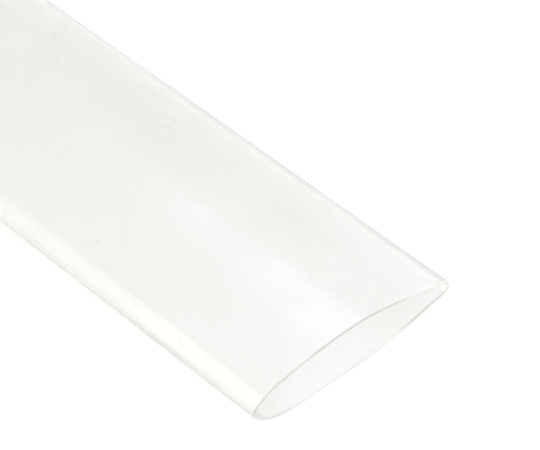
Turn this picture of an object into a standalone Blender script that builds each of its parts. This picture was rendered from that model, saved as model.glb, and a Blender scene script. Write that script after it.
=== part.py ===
"""One cut piece of clear heat shrink tube, as it lies after coming off its flat reel.

The tube is a single extruded wall. It lies along X on the floor, Z = 0, with one fold on each side.
The upper wall turns down over a shoulder before the fold at -Y, and runs straight into the fold at +Y.
The origin is on the floor, under the middle of the tube. The wall's middle line round the section is
called the mid-wall line. Everything is in metres.
"""
import math

import bmesh
import bpy
import numpy as np

MM = 0.001

# The tube as it is sold, before it is shrunk
BORE = 25.4 * MM  # inside diameter if the tube is pressed round
WALL = 0.46 * MM
LENGTH = 152.4 * MM  # one cut piece

# How it lies
HEIGHT = 8.7 * MM  # floor to the top of the crown
NEAR_FOLD_RADIUS = 0.95 * MM  # to the mid-wall line, as are the other sizes of the folds
FAR_FOLD_RADIUS = 1.15 * MM
FOLD_DROP = 0.4 * MM  # how far the middle of each fold lies below half the height
NEAR_SHOULDER = 4.4 * MM  # from the tip of the near fold to the shoulder
SHOULDER_DROP = 1.6 * MM  # how far the shoulder lies below the crown
NEAR_BEND = 9.3 * MM  # from the tip of the near fold to where the wall comes down flat
SEAT_PAST_MIDDLE = 1.6 * MM  # how far the flat strip underneath runs past the middle of the tube

# How steep the wall is, over the slope of a straight line from there to the next landmark inward
SHOULDER_FULLNESS = 1.7
NEAR_FULLNESS_ABOVE = 1.5
NEAR_FULLNESS_BELOW = 2.9
FAR_FULLNESS = 1.1

# How finely round stretches are drawn
STEPS = 16  # straight pieces in each curved stretch
SMOOTH_ANGLE = math.radians(40)
QUARTER_TURN = math.pi / 2

# Clear polyolefin
COLOUR = (0.90, 0.90, 0.88, 1.0)
ROUGHNESS = 0.25
METALLIC = 0.0
ALPHA = 0.35

SEAT_LEVEL = WALL / 2  # mid-wall line of the flat strip
CROWN_LEVEL = HEIGHT - WALL / 2  # mid-wall line of the crown
FOLD_LEVEL = HEIGHT / 2 - FOLD_DROP


def direction(heading):
    """Unit vector in the section, with the heading counted up from +Y."""
    return np.array([math.cos(heading), math.sin(heading)])


def curve(start, start_heading, end, end_heading):
    """Points of one curved stretch, which leaves and arrives along the given headings.

    Its handles are as long as those of a round arc that turns as far.
    """
    turn = end_heading - start_heading
    reach = math.dist(start, end) / (3 * math.cos(turn / 4) ** 2)
    first = start + direction(start_heading) * reach
    second = end - direction(end_heading) * reach
    share = np.linspace(0, 1, STEPS, endpoint=False)[:, None]
    rest = 1 - share
    return rest**3 * start + 3 * rest**2 * share * first + 3 * rest * share**2 * second + share**3 * end


def slope_towards(fullness, rise, run):
    """How steeply the wall sets out towards a point so far up and along."""
    return fullness * math.atan2(rise, run)


def fold_knots(centre, radius, headings):
    """Points on the circle of a fold where the section comes onto it, at its tip and where it leaves."""
    return [(centre + radius * direction(heading - QUARTER_TURN), heading) for heading in headings]


def mid_wall_knots(half_width):
    """Points and headings that the section passes through, once round with the bore on the left."""
    seat_near = np.array([NEAR_BEND - half_width, SEAT_LEVEL])
    seat_far = np.array([SEAT_PAST_MIDDLE, SEAT_LEVEL])
    far_centre = np.array([half_width - FAR_FOLD_RADIUS, FOLD_LEVEL])
    crown = np.array([0.0, CROWN_LEVEL])
    shoulder = np.array([NEAR_SHOULDER - half_width, CROWN_LEVEL - SHOULDER_DROP])
    near_centre = np.array([NEAR_FOLD_RADIUS - half_width, FOLD_LEVEL])

    far_drop = FOLD_LEVEL - FAR_FOLD_RADIUS - SEAT_LEVEL
    far_rise = CROWN_LEVEL - FOLD_LEVEL - FAR_FOLD_RADIUS
    near_rise = shoulder[1] - FOLD_LEVEL - NEAR_FOLD_RADIUS
    near_drop = FOLD_LEVEL - NEAR_FOLD_RADIUS - SEAT_LEVEL
    far_below = slope_towards(FAR_FULLNESS, far_drop, far_centre[0] - seat_far[0])
    far_above = slope_towards(FAR_FULLNESS, far_rise, far_centre[0] - crown[0])
    at_shoulder = slope_towards(SHOULDER_FULLNESS, SHOULDER_DROP, crown[0] - shoulder[0])
    near_above = slope_towards(NEAR_FULLNESS_ABOVE, near_rise, shoulder[0] - near_centre[0])
    near_below = slope_towards(NEAR_FULLNESS_BELOW, near_drop, seat_near[0] - near_centre[0])
    round_far = (far_below, QUARTER_TURN, 2 * QUARTER_TURN - far_above)
    round_near = (2 * QUARTER_TURN + near_above, 3 * QUARTER_TURN, 4 * QUARTER_TURN - near_below)

    return [
        (seat_near, 0.0),
        (seat_far, 0.0),
        *fold_knots(far_centre, FAR_FOLD_RADIUS, round_far),
        (crown, 2 * QUARTER_TURN),
        (shoulder, 2 * QUARTER_TURN + at_shoulder),
        *fold_knots(near_centre, NEAR_FOLD_RADIUS, round_near),
        (seat_near, 4 * QUARTER_TURN),
    ]


def mid_wall_line(half_width):
    """The section's mid-wall line as points. The flat strip underneath is one straight piece."""
    knots = mid_wall_knots(half_width)
    seat_near = knots[0][0]
    curves = [curve(*knot, *after) for knot, after in zip(knots[1:], knots[2:])]
    return np.concatenate([seat_near[None, :], *curves])


def line_length(points):
    return np.linalg.norm(np.roll(points, -1, axis=0) - points, axis=1).sum()


def settled_mid_wall_line():
    """Finds the width at which the wall is as long round the section as on the round tube."""
    round_length = math.pi * (BORE + WALL)
    close_enough = round_length * 1e-9
    half_width = round_length / 4
    missing = round_length
    while abs(missing) > close_enough:
        missing = round_length - line_length(mid_wall_line(half_width))
        half_width += missing / 4
    return mid_wall_line(half_width)


def shifted(points, distance):
    """The closed line moved sideways, outward for a positive distance, corners kept true."""
    ahead = np.roll(points, -1, axis=0) - points
    ahead /= np.linalg.norm(ahead, axis=1)[:, None]
    sides = np.stack([ahead[:, 1], -ahead[:, 0]], axis=1)
    corners = sides + np.roll(sides, 1, axis=0)
    corners /= (corners * corners).sum(axis=1)[:, None] / 2
    return points + corners * distance


def add_ring(mesh, points, x):
    corners = [mesh.verts.new((x, y, z)) for y, z in points]
    return [mesh.edges.new(pair) for pair in zip(corners, corners[1:] + corners[:1])]


def make_tube_mesh():
    """One cut face, from the outer ring to the inner ring, drawn out to the tube's length."""
    middle = settled_mid_wall_line()
    mesh = bmesh.new()
    rings = add_ring(mesh, shifted(middle, WALL / 2), -LENGTH / 2)
    rings += add_ring(mesh, shifted(middle, -WALL / 2), -LENGTH / 2)
    cut_face = bmesh.ops.bridge_loops(mesh, edges=rings)["faces"]
    drawn = bmesh.ops.extrude_face_region(mesh, geom=cut_face, use_keep_orig=True)["geom"]
    moved = [item for item in drawn if isinstance(item, bmesh.types.BMVert)]
    bmesh.ops.translate(mesh, verts=moved, vec=(LENGTH, 0, 0))
    bmesh.ops.recalc_face_normals(mesh, faces=mesh.faces)

    result = bpy.data.meshes.new("heat_shrink_tube")
    mesh.to_mesh(result)
    mesh.free()
    result.shade_smooth()
    result.set_sharp_from_angle(angle=SMOOTH_ANGLE)
    return result


def clear_polyolefin():
    material = bpy.data.materials.new("clear_polyolefin")
    material.use_nodes = True
    shader = material.node_tree.nodes["Principled BSDF"]
    shader.inputs["Base Color"].default_value = COLOUR
    shader.inputs["Roughness"].default_value = ROUGHNESS
    shader.inputs["Metallic"].default_value = METALLIC
    shader.inputs["Alpha"].default_value = ALPHA
    return material


def main():
    for item in list(bpy.data.objects):
        bpy.data.objects.remove(item, do_unlink=True)
    tube = bpy.data.objects.new("heat_shrink_tube", make_tube_mesh())
    tube.data.materials.append(clear_polyolefin())
    bpy.context.collection.objects.link(tube)


main()
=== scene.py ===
import math

import bmesh
import bpy
from mathutils import Matrix, Vector, noise


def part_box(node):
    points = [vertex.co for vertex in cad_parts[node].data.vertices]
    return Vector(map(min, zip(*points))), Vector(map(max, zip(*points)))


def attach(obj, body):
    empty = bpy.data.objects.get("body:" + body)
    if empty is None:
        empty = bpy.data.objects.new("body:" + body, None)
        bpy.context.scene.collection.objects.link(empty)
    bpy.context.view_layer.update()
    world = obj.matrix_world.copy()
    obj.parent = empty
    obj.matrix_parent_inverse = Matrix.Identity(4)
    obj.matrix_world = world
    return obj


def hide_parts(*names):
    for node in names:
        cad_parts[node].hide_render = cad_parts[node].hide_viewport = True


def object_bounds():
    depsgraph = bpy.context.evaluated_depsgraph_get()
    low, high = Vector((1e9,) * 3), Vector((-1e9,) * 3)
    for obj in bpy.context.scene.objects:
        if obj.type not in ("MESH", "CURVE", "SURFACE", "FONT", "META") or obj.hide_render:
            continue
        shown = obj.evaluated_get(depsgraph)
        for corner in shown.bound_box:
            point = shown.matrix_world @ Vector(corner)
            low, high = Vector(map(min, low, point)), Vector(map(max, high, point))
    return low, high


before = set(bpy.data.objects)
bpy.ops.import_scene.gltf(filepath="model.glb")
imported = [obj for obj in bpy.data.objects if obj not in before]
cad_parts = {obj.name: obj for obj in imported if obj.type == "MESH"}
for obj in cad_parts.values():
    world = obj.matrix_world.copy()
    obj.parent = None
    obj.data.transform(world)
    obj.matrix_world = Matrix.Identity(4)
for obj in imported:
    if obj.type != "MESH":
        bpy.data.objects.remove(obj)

cadLow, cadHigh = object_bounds()
mm = 0.001

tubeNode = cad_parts["heat_shrink_tube"]
tubeLow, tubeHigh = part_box("heat_shrink_tube")

# what a user would change on the tube
tube = dict(
    ringStep=0.6 * mm,        # longest side of a face round the section
    lengthStep=1.6 * mm,      # and along the tube
    rimRound=0.09 * mm,       # rounding of the cut edges
    rimSteps=3,
    rimLead=0.03 * mm,        # keeps the rounding's shading off the long faces
    slackDepth=0.16 * mm,     # how deep the wall's soft waves are
    slackLong=34 * mm,        # their length along and round the tube
    slackRound=11 * mm,
    rippleLong=9 * mm,        # the smaller waves over them, along and across
    rippleAcross=5 * mm,
    rippleSeed=3.7,
    waveShare=0.42,           # how far each kind goes to either side of half the depth
    rippleShare=0.08,
    slackFrom=0.6 * mm,       # height where the waves begin, above the strip that the tube rests on
    slackRise=1.5 * mm,       # and how much further up they are full
    cutWander=0.07 * mm,      # how far the cut strays from square
    cutWanderLength=5 * mm,
    cutWanderReach=4 * mm,    # how far along the tube the walls follow it
    cutSeed=5.3,
)

# the tube's finishes, in the order of its material slots
clearSlot, cutSlot, foldSlot = 0, 1, 2

# how near counts as the same place and the same plane
samePlace, samePlane = 1e-7, 1e-6


def ringLength(ring):
    return sum((a - b).length for a, b in zip(ring, ring[1:] + ring[:1]))


def cutFaceRings(obj, x):
    # the two loops where the cut face at this x meets the walls, longest first
    mesh = bmesh.new()
    mesh.from_mesh(obj.data)
    bmesh.ops.remove_doubles(mesh, verts=mesh.verts, dist=samePlace)
    onCut = {f for f in mesh.faces if all(abs(v.co.x - x) < samePlane for v in f.verts)}
    links = {}
    for edge in mesh.edges:
        if sum(f in onCut for f in edge.link_faces) == 1:
            a, b = edge.verts
            links.setdefault(a, []).append(b)
            links.setdefault(b, []).append(a)
    rings = []
    while links:
        start = next(iter(links))
        ring, last, here = [start], None, start
        while True:
            following = [v for v in links[here] if v is not last]
            last, here = here, following[0]
            if here is start:
                break
            ring.append(here)
        for v in ring:
            del links[v]
        rings.append([Vector((v.co.y, v.co.z)) for v in ring])
    mesh.free()
    return sorted(rings, key=ringLength, reverse=True)


def longestSide(ring):
    count = len(ring)
    return max(range(count), key=lambda i: (ring[(i + 1) % count] - ring[i]).length)


def startAtStrip(ring):
    # begins with the two ends of the flat strip underneath, and goes on towards +Y
    longest = longestSide(ring)
    if ring[(longest + 1) % len(ring)].x < ring[longest].x:
        ring = ring[::-1]
        longest = longestSide(ring)
    return ring[longest:] + ring[:longest]


def ringTangents(ring):
    strip = (ring[1] - ring[0]).normalized()
    tangents = [strip, strip]
    for i in range(2, len(ring)):
        before = ring[i] - ring[i - 1]
        after = ring[(i + 1) % len(ring)] - ring[i]
        slope = before / before.length * after.length + after / after.length * before.length
        tangents.append(slope.normalized())
    return tangents


def finerRing(ring, counts):
    # smooth points between the ring's own ones; the flat strip stays flat
    tangents = ringTangents(ring)
    points = []
    for i, start in enumerate(ring):
        after = (i + 1) % len(ring)
        end = ring[after]
        reach = (end - start).length
        for j in range(counts[i]):
            t = j / counts[i]
            points.append(
                start * (2 * t**3 - 3 * t**2 + 1) + tangents[i] * reach * (t**3 - 2 * t**2 + t)
                + end * (3 * t**2 - 2 * t**3) + tangents[after] * reach * (t**3 - t**2)
            )
    return points


def sectionRings():
    outer, inner = [startAtStrip(ring) for ring in cutFaceRings(tubeNode, tubeHigh.x)]
    counts = [
        max(1, math.ceil((outer[(i + 1) % len(outer)] - outer[i]).length / tube["ringStep"]))
        for i in range(len(outer))
    ]
    return finerRing(outer, counts), finerRing(inner, counts)


def stationList():
    # places along the tube, each with how far the walls draw in there to round the cut edges
    half, rim, steps = tubeHigh.x, tube["rimRound"], tube["rimSteps"]
    turns = [i / steps * math.pi / 2 for i in range(steps + 1)]
    end = [(half - rim - tube["rimLead"], 0.0)]
    end += [(half - rim + rim * math.sin(t), rim - rim * math.cos(t)) for t in turns]
    straight = 2 * end[0][0]
    count = round(straight / tube["lengthStep"])
    body = [(straight * (i / count - 0.5), 0.0) for i in range(1, count)]
    return [(-x, draw) for x, draw in reversed(end)] + body + end


def slack(x, y, z):
    # soft waves, 0 to 1, none on the strip that the tube rests on
    across = tube["slackRound"]
    wave = noise.noise(Vector((x / tube["slackLong"], y / across, z / across)))
    ripple = noise.noise(Vector((x / tube["rippleLong"], y / tube["rippleAcross"], tube["rippleSeed"])))
    lifted = min(1.0, max(0.0, (z - tube["slackFrom"]) / tube["slackRise"]))
    return lifted * (0.5 + tube["waveShare"] * wave + tube["rippleShare"] * ripple)


def cutShift(x, y, z):
    # the cut strays a little, always towards the middle of the tube
    side = 1 if x > 0 else -1
    near = max(0.0, 1 - (tubeHigh.x - abs(x)) / tube["cutWanderReach"])
    wide = tube["cutWanderLength"]
    stray = 0.5 + 0.5 * noise.noise(Vector((y / wide, z / wide, side * tube["cutSeed"])))
    return -side * near * stray * tube["cutWander"]


def inFoldStrip(point):
    nearFold = point.x < -foldFinish["start"]["near"]
    farFold = point.x > foldFinish["start"]["far"] and point.y > foldFinish["lowest"]
    return nearFold or farFold


def addWall(mesh, points, outer, inner, sign):
    # rows of corners along one side of the wall; sign says which way the cut edges round off
    acrossTube = mesh.verts.layers.float["acrossTube"]
    inward = [(b - a).normalized() for a, b in zip(outer, inner)]
    rows = []
    for x, draw in stationList():
        row = []
        for point, start, into in zip(points, outer, inward):
            depth = draw * sign + tube["slackDepth"] * slack(x, start.x, start.y)
            spot = point + into * depth
            vert = mesh.verts.new((x + cutShift(x, *start), spot.x, spot.y))
            vert[acrossTube] = start.x
            row.append(vert)
        rows.append(row)
    return rows


def skinWall(mesh, rows, onFold, turn):
    count, rim = len(rows[0]), len(rows) - tube["rimSteps"] - 1
    for k in range(len(rows) - 1):
        onRim = k < tube["rimSteps"] or k >= rim
        for i in range(count):
            j = (i + 1) % count
            face = mesh.faces.new([rows[k][i], rows[k][j], rows[k + 1][j], rows[k + 1][i]][::turn])
            face.material_index = cutSlot if onRim else foldSlot if onFold[i] else clearSlot


def closeEnds(mesh, outside, inside):
    for index in (0, -1):
        out, into = outside[index], inside[index]
        for i in range(len(out)):
            j = (i + 1) % len(out)
            mesh.faces.new([out[i], out[j], into[j], into[i]]).material_index = cutSlot


def makeTube():
    outer, inner = sectionRings()
    mesh = bmesh.new()
    mesh.verts.layers.float.new("acrossTube")   # Y before the soft waves, for the painted shade along the folds
    outside = addWall(mesh, outer, outer, inner, 1)
    inside = addWall(mesh, inner, outer, inner, -1)
    onFold = [inFoldStrip((a + b) / 2) for a, b in zip(outer, outer[1:] + outer[:1])]
    skinWall(mesh, outside, onFold, 1)
    skinWall(mesh, inside, [False] * len(inner), -1)
    closeEnds(mesh, outside, inside)
    bmesh.ops.recalc_face_normals(mesh, faces=mesh.faces)
    for face in mesh.faces:
        face.smooth = True
    data = bpy.data.meshes.new("clearTube")
    mesh.to_mesh(data)
    mesh.free()
    obj = bpy.data.objects.new("clear_tube", data)
    bpy.context.collection.objects.link(obj)
    return obj


nowhere = (1.0, 1.1)                         # further out than the tube reaches

# what a user would change in the plastic
clearFinish = dict(
    colour=(0.987, 0.985, 0.987, 1),
    hazy=(0.971, 0.972, 0.965, 1),           # where the haze is thickest
    middle=(0.958, 0.951, 0.943, 1),         # painted shade: darker away from the open ends, first on the +Y side
    middleFrom=(35 * mm, -12 * mm),          # how far from the tube's middle that starts and is full
    middleSlant=2.0,                         # how much sooner that is for each mm towards +Y
    # painted shade: the lower wall, under the upper one, is made darker
    lowerWallShade=(0.932, 0.936, 0.920, 1),
    lowerShare=0.5,                          # how far the lower wall goes to that
    lowerLevels=(4.4 * mm, 3.2 * mm),        # between these heights one wall goes over into the other
    foldShadeColour=(0.935, 0.93, 0.925, 1),      # painted shade beside the far fold, for its dark edge line
    foldShadeTint=dict(Near=nowhere, Far=(16.9 * mm, 18.1 * mm)),
    ior=1.5,
    transmission=0.9,                        # the rest is milky
    roughness=(0.13, 0.19),                  # clearest and haziest
    cloudSize=16 * mm,
    specks=dict(Spacing=2.2 * mm, Size=0.34 * mm),
    speckColour=(0.86, 0.855, 0.845, 1),
    speckHeight=0.020 * mm,
    lines=dict(Wide=0.55 * mm, Long=70 * mm),
    lineHeight=0.003 * mm,
)
# the fold strips' colours are painted shade for the dark line along each fold edge
foldFinish = dict(
    start=dict(near=19.18 * mm, far=17.9 * mm),  # from the middle of the tube outward
    lowest=3.8 * mm,                         # height from which the far fold has this finish
    edge=(0.72, 0.715, 0.705, 1),            # painted shade, where the strip begins
    near=(0.69, 0.685, 0.67, 1),
    far=(0.69, 0.68, 0.67, 1),
    sideChange=(-1 * mm, 1 * mm),            # from the near fold's colour to the far one's
    paintedShadeStrip=dict(Near=(19.1 * mm, 19.26 * mm), Far=(17.8 * mm, 18.3 * mm)),
    hazeShare=0.25,
    transmission=0.3,
    roughness=0.3,
)
# the cut's light and dark tones are painted light and painted shade, set by where each lip is lit or
# shaded
cutFinish = dict(
    dark=(0.53, 0.52, 0.50, 1),
    light=(0.73, 0.73, 0.71, 1),
    levels=(2.6 * mm, 4.2 * mm),             # painted light and shade: the cut is light below these heights and dark above and the other way round beyond this far towards +Y
    swapAt=(7 * mm, 13 * mm),                # and the other way round beyond this far towards +Y
    nearEnd=(11 * mm, 15 * mm),              # painted shade: darker all round from here towards -Y
    nearShare=0.55,                          # how much of the dark it gets there
    pale=(0.76, 0.76, 0.74, 1),              # where the blade whitened it
    paleShare=0.35,
    paleSize=5 * mm,
    roughness=(0.40, 0.62),
    lines=dict(Wide=0.07 * mm, Long=2.5 * mm),
    lineTurn=90,                             # degrees from the tube's length
    lineHeight=0.004 * mm,
)

# the grain of the shared effects
cloudNoise = dict(Detail=3.0, Roughness=0.55)
cloudEdges = (0.3, 0.7)                          # noise that counts as clear and as fully hazy
lineNoise = dict(Detail=3.0, Roughness=0.6)
speckCore = 0.35                                 # share of a speck's size that is level


def newGroup(name, inputs, outputs):
    group = bpy.data.node_groups.new(name, "ShaderNodeTree")
    for label in inputs:
        kind = "NodeSocketVector" if label == "Position" else "NodeSocketFloat"
        group.interface.new_socket(label, in_out="INPUT", socket_type=kind)
    for label in outputs:
        group.interface.new_socket(label, in_out="OUTPUT", socket_type="NodeSocketFloat")
    entry, leave = group.nodes.new("NodeGroupInput"), group.nodes.new("NodeGroupOutput")
    return group, entry.outputs, leave.inputs


def feed(tree, socket, value):
    if isinstance(value, bpy.types.NodeSocket):
        tree.links.new(value, socket)
    else:
        socket.default_value = value


def wire(tree, kind, settings=None, **sockets):
    # one node, with each socket set to a number or linked: i0 and i1 by place, the others by name
    node = tree.nodes.new(kind)
    for key, value in (settings or {}).items():
        setattr(node, key, value)
    for key, value in sockets.items():
        byPlace = key[0] == "i" and key[1:].isdigit()
        feed(tree, node.inputs[int(key[1:])] if byPlace else node.inputs[key.replace("_", " ")], value)
    return node.outputs


def calculate(tree, operation, first, second=0.5):
    return wire(tree, "ShaderNodeMath", dict(operation=operation), i0=first, i1=second)[0]


def risesOver(tree, value, ends, **reach):
    return wire(tree, "ShaderNodeMapRange", dict(interpolation_type="SMOOTHSTEP"), Value=value,
                From_Min=ends[0], From_Max=ends[1], **reach)[0]


def softCloudGroup():
    # slow, soft mottling, 0 to 1
    group, given, result = newGroup("softCloud", ["Position", "Size"], ["Amount"])
    scale = calculate(group, "DIVIDE", 1.0, given["Size"])
    cloud = wire(group, "ShaderNodeTexNoise", {}, Vector=given["Position"], Scale=scale, **cloudNoise)
    group.links.new(risesOver(group, cloud[0], cloudEdges), result["Amount"])
    return group


def drawnLinesGroup():
    # fine lines along the position's X, 0 to 1
    group, given, result = newGroup("drawnLines", ["Position", "Wide", "Long"], ["Height"])
    scale = calculate(group, "DIVIDE", 1.0, given["Wide"])
    share = calculate(group, "DIVIDE", given["Wide"], given["Long"])
    split = wire(group, "ShaderNodeSeparateXYZ", {}, i0=given["Position"])
    along = calculate(group, "MULTIPLY", split["X"], share)
    drawn = wire(group, "ShaderNodeCombineXYZ", {}, X=along, Y=split["Y"], Z=split["Z"])[0]
    lines = wire(group, "ShaderNodeTexNoise", {}, Vector=drawn, Scale=scale, **lineNoise)
    group.links.new(lines[0], result["Height"])
    return group


def gelSpecksGroup():
    # small round specks and bubbles in the wall: 1 in the middle of each
    group, given, result = newGroup("gelSpecks", ["Position", "Spacing", "Size"], ["Mask"])
    scale = calculate(group, "DIVIDE", 1.0, given["Spacing"])
    points = wire(group, "ShaderNodeTexVoronoi", {}, Vector=given["Position"], Scale=scale)
    reach = calculate(group, "MULTIPLY", points["Distance"], given["Spacing"])
    core = calculate(group, "MULTIPLY", given["Size"], speckCore)
    spot = risesOver(group, reach, (core, given["Size"]), To_Min=1.0, To_Max=0.0)
    group.links.new(spot, result["Mask"])
    return group


def foldPaintedShadeGroup():
    # how far into the strip of painted shade along each fold a place lies, 0 to 1
    ends = ["Near Start", "Near Full", "Far Start", "Far Full"]
    group, given, result = newGroup("foldPaintedShade", ["Across"] + ends, ["Amount"])
    flipped = calculate(group, "MULTIPLY", given["Across"], -1.0)
    near = risesOver(group, flipped, (given["Near Start"], given["Near Full"]))
    far = risesOver(group, given["Across"], (given["Far Start"], given["Far Full"]))
    group.links.new(calculate(group, "MAXIMUM", near, far), result["Amount"])
    return group


softCloud = softCloudGroup()
drawnLines = drawnLinesGroup()
gelSpecks = gelSpecksGroup()
foldPaintedShade = foldPaintedShadeGroup()
print("shared effects ready")


def newMaterial(name):
    material = bpy.data.materials.new(name)
    material.use_nodes = True
    tree = material.node_tree
    return material, tree, tree.nodes["Principled BSDF"]


def objectPosition(tree):
    return tree.nodes.new("ShaderNodeTexCoord").outputs["Object"]


def useGroup(tree, group, **values):
    node = tree.nodes.new("ShaderNodeGroup")
    node.node_tree = group
    for label, value in values.items():
        feed(tree, node.inputs[label], value)
    return node.outputs[0]


def foldAmount(tree, strips):
    # the strip along each fold, between the two distances from the middle of the tube
    across = wire(tree, "ShaderNodeAttribute", dict(attribute_name="acrossTube"))["Fac"]
    ends = {}
    for side, (start, full) in strips.items():
        ends[f"{side} Start"], ends[f"{side} Full"] = start, full
    return useGroup(tree, foldPaintedShade, Across=across, **ends)


def mixColours(tree, amount, first, second):
    mix = tree.nodes.new("ShaderNodeMix")
    mix.data_type = "RGBA"
    tree.links.new(amount, mix.inputs["Factor"])
    feed(tree, mix.inputs[6], first)
    feed(tree, mix.inputs[7], second)
    return mix.outputs[2]


def bump(tree, height, distance, before=None):
    node = tree.nodes.new("ShaderNodeBump")
    node.inputs["Distance"].default_value = distance
    tree.links.new(height, node.inputs["Height"])
    if before:
        tree.links.new(before, node.inputs["Normal"])
    return node.outputs["Normal"]


def between(tree, amount, low, high):
    return wire(tree, "ShaderNodeMapRange", {}, Value=amount, To_Min=low, To_Max=high)[0]


def clearPlastic():
    material, tree, shader = newMaterial("clear_polyolefin")
    position = objectPosition(tree)
    haze = useGroup(tree, softCloud, Position=position, Size=clearFinish["cloudSize"])
    lines = useGroup(tree, drawnLines, Position=position, **clearFinish["lines"])
    specks = useGroup(tree, gelSpecks, Position=position, **clearFinish["specks"])
    split = wire(tree, "ShaderNodeSeparateXYZ", {}, i0=position)
    # painted shade along the tube: darker away from the open ends, first on the +Y side
    fromMiddle = calculate(tree, "ABSOLUTE", split["X"])
    slant = calculate(tree, "MULTIPLY", split["Y"], clearFinish["middleSlant"])
    reach = calculate(tree, "SUBTRACT", fromMiddle, slant)
    start, full = clearFinish["middleFrom"]
    inside = wire(tree, "ShaderNodeMapRange", {}, Value=reach, From_Min=start, From_Max=full)[0]
    # painted shade beside the far fold, for its dark edge line
    byFoldShade = foldAmount(tree, clearFinish["foldShadeTint"])
    # painted shade on the lower wall, under the upper one
    top, bottom = clearFinish["lowerLevels"]
    low = wire(tree, "ShaderNodeMapRange", {}, Value=split["Z"], From_Min=top, From_Max=bottom,
               To_Max=clearFinish["lowerShare"])[0]
    colour = mixColours(tree, haze, clearFinish["colour"], clearFinish["hazy"])
    colour = mixColours(tree, inside, colour, clearFinish["middle"])
    colour = mixColours(tree, byFoldShade, colour, clearFinish["foldShadeColour"])
    colour = mixColours(tree, low, colour, clearFinish["lowerWallShade"])
    colour = mixColours(tree, specks, colour, clearFinish["speckColour"])
    normal = bump(tree, lines, clearFinish["lineHeight"])
    normal = bump(tree, specks, clearFinish["speckHeight"], normal)
    tree.links.new(colour, shader.inputs["Base Color"])
    tree.links.new(between(tree, haze, *clearFinish["roughness"]), shader.inputs["Roughness"])
    tree.links.new(normal, shader.inputs["Normal"])
    shader.inputs["IOR"].default_value = clearFinish["ior"]
    shader.inputs["Transmission Weight"].default_value = clearFinish["transmission"]
    return material


def foldPlastic():
    # the outermost strip of each fold, milky, and painted dark grey as painted shade for the dark line
    # along each fold edge
    material, tree, shader = newMaterial("fold_polyolefin")
    position = objectPosition(tree)
    intoShade = foldAmount(tree, foldFinish["paintedShadeStrip"])
    across = wire(tree, "ShaderNodeSeparateXYZ", {}, i0=position)["Y"]
    farSide = risesOver(tree, across, foldFinish["sideChange"])
    haze = useGroup(tree, softCloud, Position=position, Size=clearFinish["cloudSize"])
    lines = useGroup(tree, drawnLines, Position=position, **clearFinish["lines"])
    colour = mixColours(tree, farSide, foldFinish["near"], foldFinish["far"])
    colour = mixColours(tree, intoShade, foldFinish["edge"], colour)
    hazeShare = between(tree, haze, 0.0, foldFinish["hazeShare"])
    colour = mixColours(tree, hazeShare, colour, clearFinish["hazy"])
    tree.links.new(colour, shader.inputs["Base Color"])
    tree.links.new(bump(tree, lines, clearFinish["lineHeight"]), shader.inputs["Normal"])
    shader.inputs["Roughness"].default_value = foldFinish["roughness"]
    shader.inputs["IOR"].default_value = clearFinish["ior"]
    shader.inputs["Transmission Weight"].default_value = foldFinish["transmission"]
    return material


def cutPlastic():
    material, tree, shader = newMaterial("cut_polyolefin")
    position = objectPosition(tree)
    split = wire(tree, "ShaderNodeSeparateXYZ", {}, i0=position)
    # painted light and shade on the cut, by height and by side
    raised = risesOver(tree, split["Z"], cutFinish["levels"])
    swapped = risesOver(tree, split["Y"], cutFinish["swapAt"])
    lips = calculate(tree, "ABSOLUTE", calculate(tree, "SUBTRACT", raised, swapped))
    flipped = calculate(tree, "MULTIPLY", split["Y"], -1.0)
    atNearEnd = risesOver(tree, flipped, cutFinish["nearEnd"])
    nearEnd = between(tree, atNearEnd, 0.0, cutFinish["nearShare"])
    paintedShadeShare = calculate(tree, "MAXIMUM", lips, nearEnd)
    pale = useGroup(tree, softCloud, Position=position, Size=cutFinish["paleSize"])
    turn = (0, 0, math.radians(cutFinish["lineTurn"]))
    turned = wire(tree, "ShaderNodeMapping", {}, Vector=position, Rotation=turn)[0]
    drag = useGroup(tree, drawnLines, Position=turned, **cutFinish["lines"])
    colour = mixColours(tree, paintedShadeShare, cutFinish["light"], cutFinish["dark"])
    paleShare = between(tree, pale, 0.0, cutFinish["paleShare"])
    colour = mixColours(tree, paleShare, colour, cutFinish["pale"])
    tree.links.new(colour, shader.inputs["Base Color"])
    tree.links.new(between(tree, drag, *cutFinish["roughness"]), shader.inputs["Roughness"])
    tree.links.new(bump(tree, drag, cutFinish["lineHeight"]), shader.inputs["Normal"])
    shader.inputs["IOR"].default_value = clearFinish["ior"]
    return material


clearTube = makeTube()
for finish in (clearPlastic, cutPlastic, foldPlastic):   # the order of clearSlot, cutSlot and foldSlot
    clearTube.data.materials.append(finish())
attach(clearTube, "root")
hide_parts("heat_shrink_tube")
print("tube", len(clearTube.data.polygons), "faces")

# the studio
studio = dict(
    floorColour=(0.885, 0.885, 0.885, 1),
    floorSize=8.0,
    floorGap=0.1 * mm,
    surround=1.12,                    # brightness all round
    surroundColour=(1, 1, 1, 1),
    # three soft panels, placed from the mouth: brightness, width and height, distance, direction, colour
    panels=dict(
        key=(0.6, (1.2, 1.2), 1.2, (0.35, 0.10, 0.93), (1, 1, 1)),
        overhead=(0.6, (0.21, 0.26), 0.8, (-0.47, 0.49, 0.73), (0.92, 0.88, 1.12)),
        side=(1.0, (0.46, 0.75), 0.8, (-0.54, -0.727, 0.42), (1, 0.97, 0.86)),
    ),
    panelPower=4,                     # watts per square metre for a brightness of 1
)
lightPaths = dict(
    max_bounces=24,                   # the light crosses four walls and comes back
    transmission_bounces=24,
    glossy_bounces=8,
    diffuse_bounces=6,
    blur_glossy=0,
)


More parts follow.
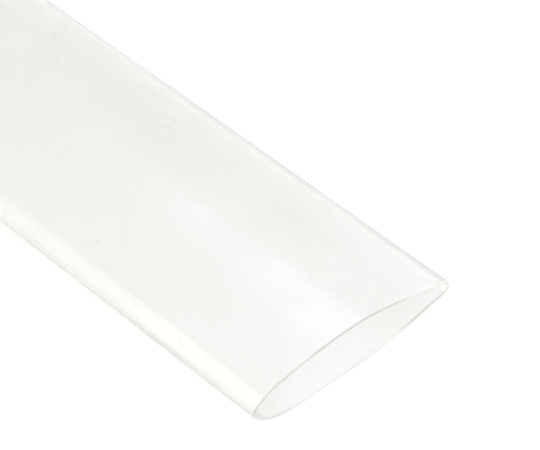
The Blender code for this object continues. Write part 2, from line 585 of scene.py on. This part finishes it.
def makeFloor():
    mesh = bmesh.new()
    bmesh.ops.create_grid(mesh, x_segments=1, y_segments=1, size=studio["floorSize"] / 2)
    data = bpy.data.meshes.new("floor")
    mesh.to_mesh(data)
    mesh.free()
    floor = bpy.data.objects.new("floor", data)
    floor.location.z = cadLow.z - studio["floorGap"]
    material, tree, shader = newMaterial("pale_floor")
    shader.inputs["Base Color"].default_value = studio["floorColour"]
    shader.inputs["Roughness"].default_value = 1.0
    shader.inputs["Specular IOR Level"].default_value = 0.0
    data.materials.append(material)
    bpy.context.collection.objects.link(floor)


def makeSurroundings():
    world = bpy.data.worlds.new("studio")
    bpy.context.scene.world = world
    world.use_nodes = True
    background = world.node_tree.nodes["Background"]
    background.inputs["Color"].default_value = studio["surroundColour"]
    background.inputs["Strength"].default_value = studio["surround"]


def makeLights():
    mouth = Vector((tubeHigh.x, 0, tubeHigh.z))
    for name, (bright, (wide, high), distance, direction, colour) in studio["panels"].items():
        towards = Vector(direction).normalized()
        light = bpy.data.lights.new(name, "AREA")
        light.energy = bright * studio["panelPower"] * wide * high
        light.shape = "RECTANGLE"
        light.size = wide
        light.size_y = high
        light.color = colour
        panel = bpy.data.objects.new(name, light)
        panel.location = mouth + towards * distance
        panel.rotation_mode = "QUATERNION"
        panel.rotation_quaternion = towards.to_track_quat("Z", "Y")
        bpy.context.collection.objects.link(panel)


# the camera, fitted to the photograph
photoView = dict(
    azimuth=47.01,
    elevation=42.25,
    lens=200,
    sensor=36,
    clip=(0.01, 20),
    distance=426.4 * mm,       # along the view from the middle of the mouth, on the floor
    aside=11.84 * mm,          # how far right of the picture's middle that point lies
    above=-20.38 * mm,
)


def makeCamera():
    a, e = math.radians(photoView["azimuth"]), math.radians(photoView["elevation"])
    back = Vector((math.sin(a) * math.cos(e), -math.cos(a) * math.cos(e), math.sin(e)))
    right = Vector((math.cos(a), math.sin(a), 0))
    up = back.cross(right)
    mouth = Vector((tubeHigh.x, 0, tubeLow.z))
    eye = mouth - right * photoView["aside"] - up * photoView["above"] + back * photoView["distance"]
    data = bpy.data.cameras.new("camera")
    data.lens = photoView["lens"]
    data.sensor_width = photoView["sensor"]
    data.clip_start, data.clip_end = photoView["clip"]
    camera = bpy.data.objects.new("camera", data)
    camera.matrix_world = Matrix.Translation(eye) @ Matrix((right, up, back)).transposed().to_4x4()
    bpy.context.collection.objects.link(camera)
    bpy.context.scene.camera = camera


makeFloor()
makeSurroundings()
makeLights()
makeCamera()
scene = bpy.context.scene
scene.view_settings.view_transform = "Standard"
for setting, value in lightPaths.items():
    setattr(scene.cycles, setting, value)
print("studio ready")
